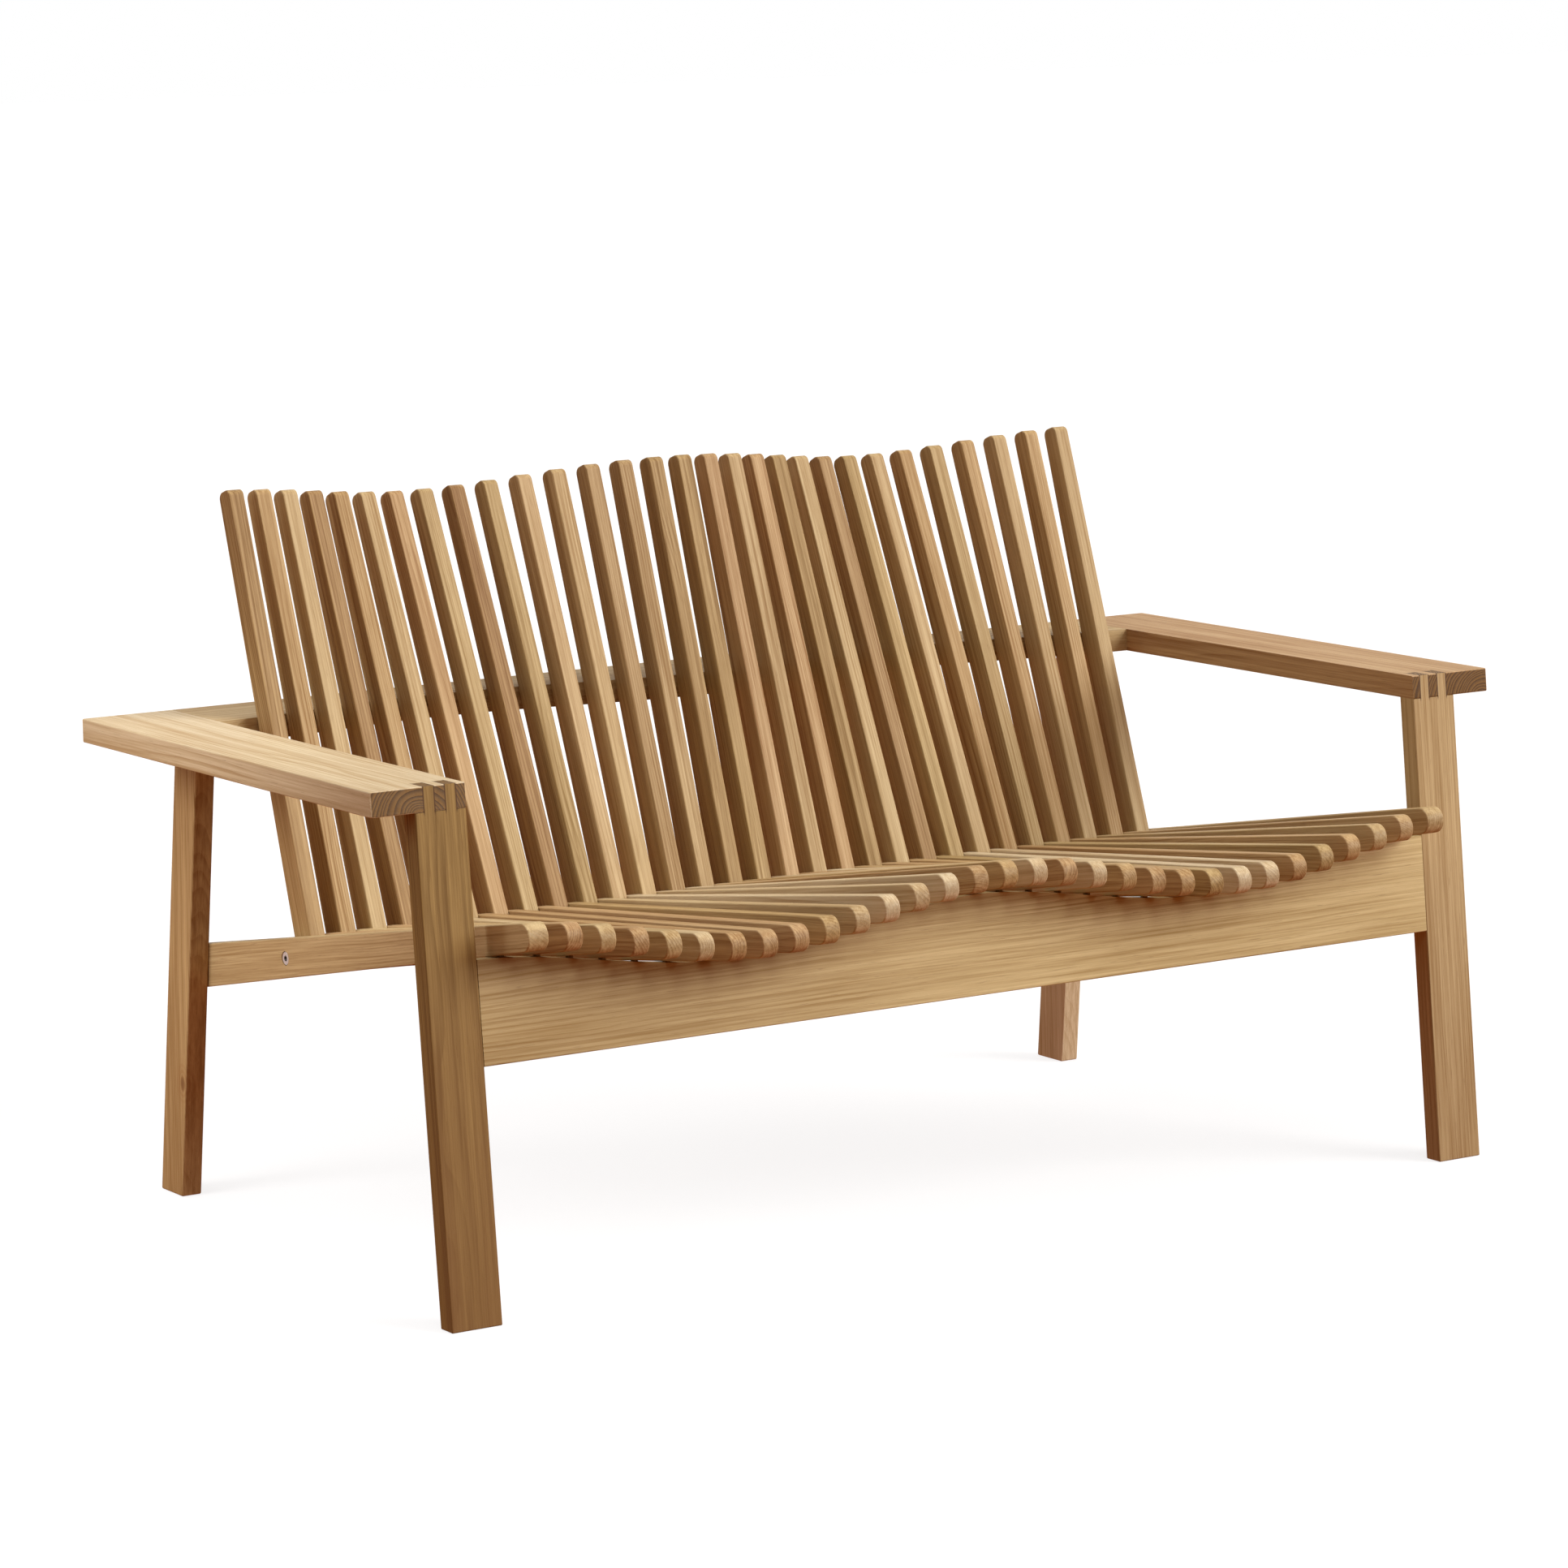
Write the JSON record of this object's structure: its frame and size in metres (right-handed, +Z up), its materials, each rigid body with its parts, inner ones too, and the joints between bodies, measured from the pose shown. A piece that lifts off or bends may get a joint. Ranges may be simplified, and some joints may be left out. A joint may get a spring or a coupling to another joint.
{
  "type": "garden bench",
  "caption": "Slatted hardwood garden bench with wide flat armrests, raked legs and a waved seat and backrest of interleaved slats threaded on one steel rod.",
  "frame": {"origin": "middle of the bench's footprint on the floor, the underside of its feet at z = 0", "axes": "+X along the bench to the right-hand armrest as the front is faced, +Y from the front of the seat towards the backrest, +Z up"},
  "size_m": [1.5, 0.8256, 0.8274],
  "materials": {
    "teak_frame": "oiled, satin, straight grain",
    "teak_seat": "oiled, satin, tone varies from slat to slat",
    "teak_back": "oiled, satin, tone varies from slat to slat",
    "dowel_wood": "plain, matte",
    "steel": "satin stainless",
    "bolt_steel": "satin stainless"
  },
  "bodies": {
    "root": {"arm_left": "teak_frame", "arm_right": "teak_frame", "back_dowels": "dowel_wood", "back_rail": "teak_frame", "back_slats_01_02": "teak_back", "back_slats_03_04": "teak_back", "back_slats_05_06": "teak_back", "back_slats_07_08": "teak_back", "back_slats_09_10": "teak_back", "back_slats_11_12": "teak_back", "back_slats_13_14": "teak_back", "back_slats_15_16": "teak_back", "back_slats_17_18": "teak_back", "back_slats_19_20": "teak_back", "back_slats_21_22": "teak_back", "back_slats_23_24": "teak_back", "back_slats_25_26": "teak_back", "back_slats_27_28": "teak_back", "back_slats_29_30": "teak_back", "front_rail": "teak_frame", "leg_front_left": "teak_frame", "leg_front_right": "teak_frame", "leg_rear_left": "teak_frame", "leg_rear_right": "teak_frame", "leg_screws_left": "steel", "leg_screws_right": "steel", "pivot_rod": "steel", "rod_screw_left": "bolt_steel", "rod_screw_right": "bolt_steel", "seat_dowels": "dowel_wood", "seat_slat_16": "teak_seat", "seat_slats_02_03": "teak_seat", "seat_slats_04_05": "teak_seat", "seat_slats_06_07": "teak_seat", "seat_slats_08_09": "teak_seat", "seat_slats_10_11": "teak_seat", "seat_slats_12_13": "teak_seat", "seat_slats_14_15": "teak_seat", "seat_slats_17_18": "teak_seat", "seat_slats_19_20": "teak_seat", "seat_slats_21_22": "teak_seat", "seat_slats_23_24": "teak_seat", "seat_slats_25_26": "teak_seat", "seat_slats_27_28": "teak_seat", "seat_slats_29_30": "teak_seat", "side_rail_left": "teak_seat", "side_rail_right": "teak_seat"}
  },
  "joints": []
}
